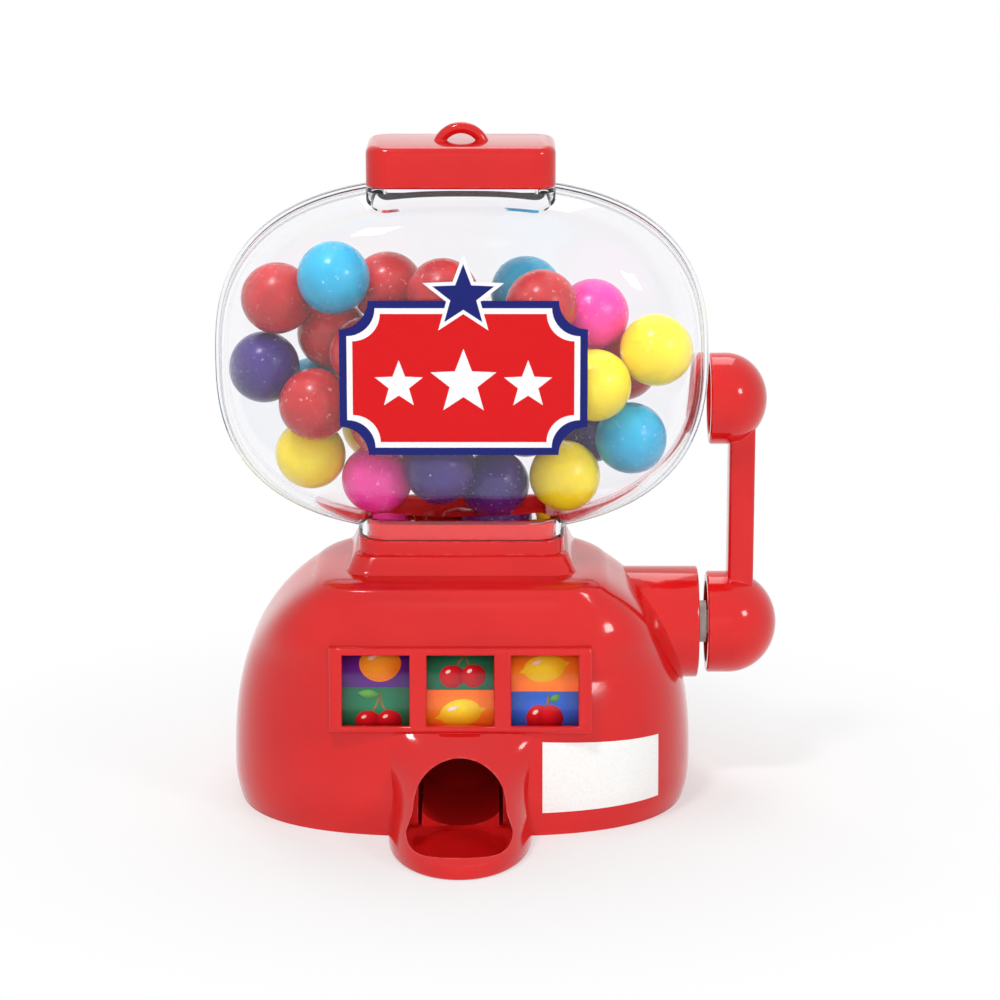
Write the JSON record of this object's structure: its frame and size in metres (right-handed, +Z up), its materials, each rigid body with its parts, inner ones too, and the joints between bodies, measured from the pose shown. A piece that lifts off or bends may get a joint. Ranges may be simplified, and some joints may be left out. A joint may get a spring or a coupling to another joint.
{
  "type": "toy gumball machine",
  "caption": "Toy slot-machine gumball dispenser: clear oval globe on a red domed base, fruit reels in windows, a side pull lever and a scooped tray at the front.",
  "frame": {"origin": "middle of the bottom plate's underside, on the table", "axes": "+Z up, front with the windows and tray towards -Y, lever on the +X side"},
  "size_m": [0.1007, 0.0915, 0.1199],
  "materials": {
    "red_plastic": "gloss, moulded",
    "clear_plastic": "clear polished moulding",
    "black_plastic": "satin, moulded",
    "white_plastic": "satin, moulded",
    "steel": "bright wire and pins",
    "printed_paper": "printed, satin",
    "gum_red": "hard sugar shell, gloss",
    "gum_yellow": "hard sugar shell, gloss",
    "gum_blue": "hard sugar shell, gloss",
    "gum_pink": "hard sugar shell, gloss",
    "gum_purple": "hard sugar shell, gloss"
  },
  "bodies": {
    "machine": {"base_shell": "red_plastic", "bottom_plate": "red_plastic", "bottom_screws": "steel", "frame_screws": "steel", "mechanism_frame": "black_plastic", "hopper_funnel": "red_plastic", "chute_ramp": "red_plastic", "globe_front": "clear_plastic", "globe_rear": "clear_plastic", "idler_pin": "steel", "detent_comb": "steel", "return_spring": "steel", "gumballs_red": "gum_red", "gumballs_yellow": "gum_yellow", "gumballs_blue": "gum_blue", "gumballs_pink": "gum_pink", "gumballs_purple": "gum_purple"},
    "lever": {"lever_arm": "red_plastic", "drive_shaft": "white_plastic", "dispensing_drum": "white_plastic", "drive_gear": "white_plastic", "gumball_in_pocket": "gum_yellow"},
    "idler": {"idler_gear": "white_plastic"},
    "reel_shaft": {"reel_axle": "steel", "reel_pinion": "white_plastic"},
    "left_reel": {"reel_left": "white_plastic", "fruit_strip_left": "printed_paper"},
    "middle_reel": {"reel_middle": "white_plastic", "fruit_strip_middle": "printed_paper"},
    "right_reel": {"reel_right": "white_plastic", "fruit_strip_right": "printed_paper"},
    "filler_lid": {"lid": "red_plastic"}
  },
  "joints": [
    {"name": "lever_pull", "type": "hinge", "parent": "machine", "child": "lever", "pos_m": [0, 0.004, 0.0284], "axis": [1, 0, 0], "range_deg": [0, 90], "stiffness_Nm_per_rad": 0.02, "springref_deg": -28.65, "deforming": ["return_spring"]},
    {"name": "idler_spin", "type": "hinge", "parent": "machine", "child": "idler", "pos_m": [0, -0.01015, 0.02271], "axis": [1, 0, 0], "range_deg": [-100, 0]},
    {"name": "reel_shaft_spin", "type": "hinge", "parent": "machine", "child": "reel_shaft", "pos_m": [0, -0.0204, 0.0226], "axis": [1, 0, 0], "range_deg": [0, 240.5], "deforming": ["detent_comb"]},
    {"name": "left_reel_spin", "type": "hinge", "parent": "reel_shaft", "child": "left_reel", "pos_m": [0, -0.0204, 0.0226], "axis": [1, 0, 0], "continuous": true, "deforming": ["detent_comb"]},
    {"name": "middle_reel_spin", "type": "hinge", "parent": "reel_shaft", "child": "middle_reel", "pos_m": [0, -0.0204, 0.0226], "axis": [1, 0, 0], "continuous": true, "deforming": ["detent_comb"]},
    {"name": "right_reel_spin", "type": "hinge", "parent": "reel_shaft", "child": "right_reel", "pos_m": [0, -0.0204, 0.0226], "axis": [1, 0, 0], "continuous": true, "deforming": ["detent_comb"]},
    {"name": "lid_lift", "type": "slide", "parent": "machine", "child": "filler_lid", "axis": [0, 0, 1], "range_m": [0, 0.03]}
  ],
  "couplings": [
    {"joint": "idler_spin", "follows": "lever_pull", "ratio": -1.1034},
    {"joint": "reel_shaft_spin", "follows": "lever_pull", "ratio": 2.6667}
  ]
}
